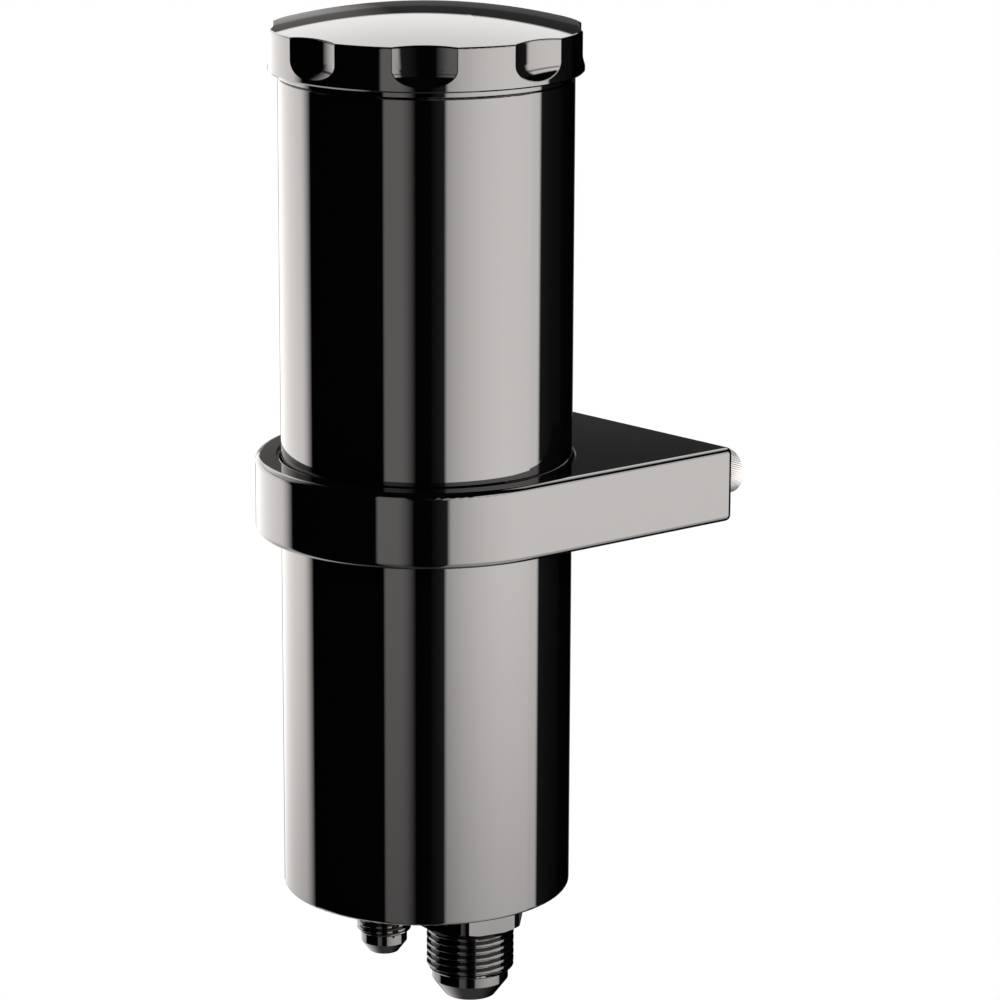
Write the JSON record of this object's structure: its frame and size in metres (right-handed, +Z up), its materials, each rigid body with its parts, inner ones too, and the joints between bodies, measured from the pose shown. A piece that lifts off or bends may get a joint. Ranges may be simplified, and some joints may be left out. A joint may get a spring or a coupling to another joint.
{
  "type": "power steering reservoir",
  "caption": "Cylindrical machined fluid reservoir with a domed scalloped screw cap, a one-piece ring bracket with a flat mounting face and two flared hose fittings underneath.",
  "frame": {"origin": "centre of the bracket's mounting face, at the middle of the bracket's height", "axes": "+Y out of the mounting face towards the panel, +Z up along the can, +X towards the outlet fitting"},
  "size_m": [0.0998, 0.1131, 0.2513],
  "materials": {
    "black_anodised": "polished gloss black",
    "zinc_steel": "bright zinc, knurled",
    "seal_rubber": "matte black",
    "bare_aluminium": "as machined",
    "black_steel": "black oxide"
  },
  "bodies": {
    "reservoir": {"can": "black_anodised", "bracket": "black_anodised", "mounting_screw_left": "zinc_steel", "mounting_screw_right": "zinc_steel", "mounting_washer_left": "zinc_steel", "mounting_washer_right": "zinc_steel", "mounting_lock_washer_left": "zinc_steel", "mounting_lock_washer_right": "zinc_steel", "can_set_screw": "black_steel", "outlet_fitting": "black_anodised", "outlet_o_ring": "seal_rubber", "return_fitting": "black_anodised", "return_o_ring": "seal_rubber", "baffle_plate": "bare_aluminium", "baffle_snap_ring": "black_steel", "return_standpipe": "bare_aluminium"},
    "cap_seal": {"cap_o_ring": "seal_rubber"},
    "cap": {"cap": "black_anodised"}
  },
  "joints": [
    {"name": "cap_rise", "type": "slide", "parent": "reservoir", "child": "cap_seal", "axis": [0, 0, 1], "range_m": [0, 0.0085]},
    {"name": "cap_unscrew", "type": "hinge", "parent": "cap_seal", "child": "cap", "pos_m": [0, -0.0598, 0.105], "axis": [0, 0, 1], "range_deg": [0, 1440]}
  ],
  "couplings": [
    {"joint": "cap_rise", "follows": "cap_unscrew", "m_per_rad": 0.00033688}
  ]
}
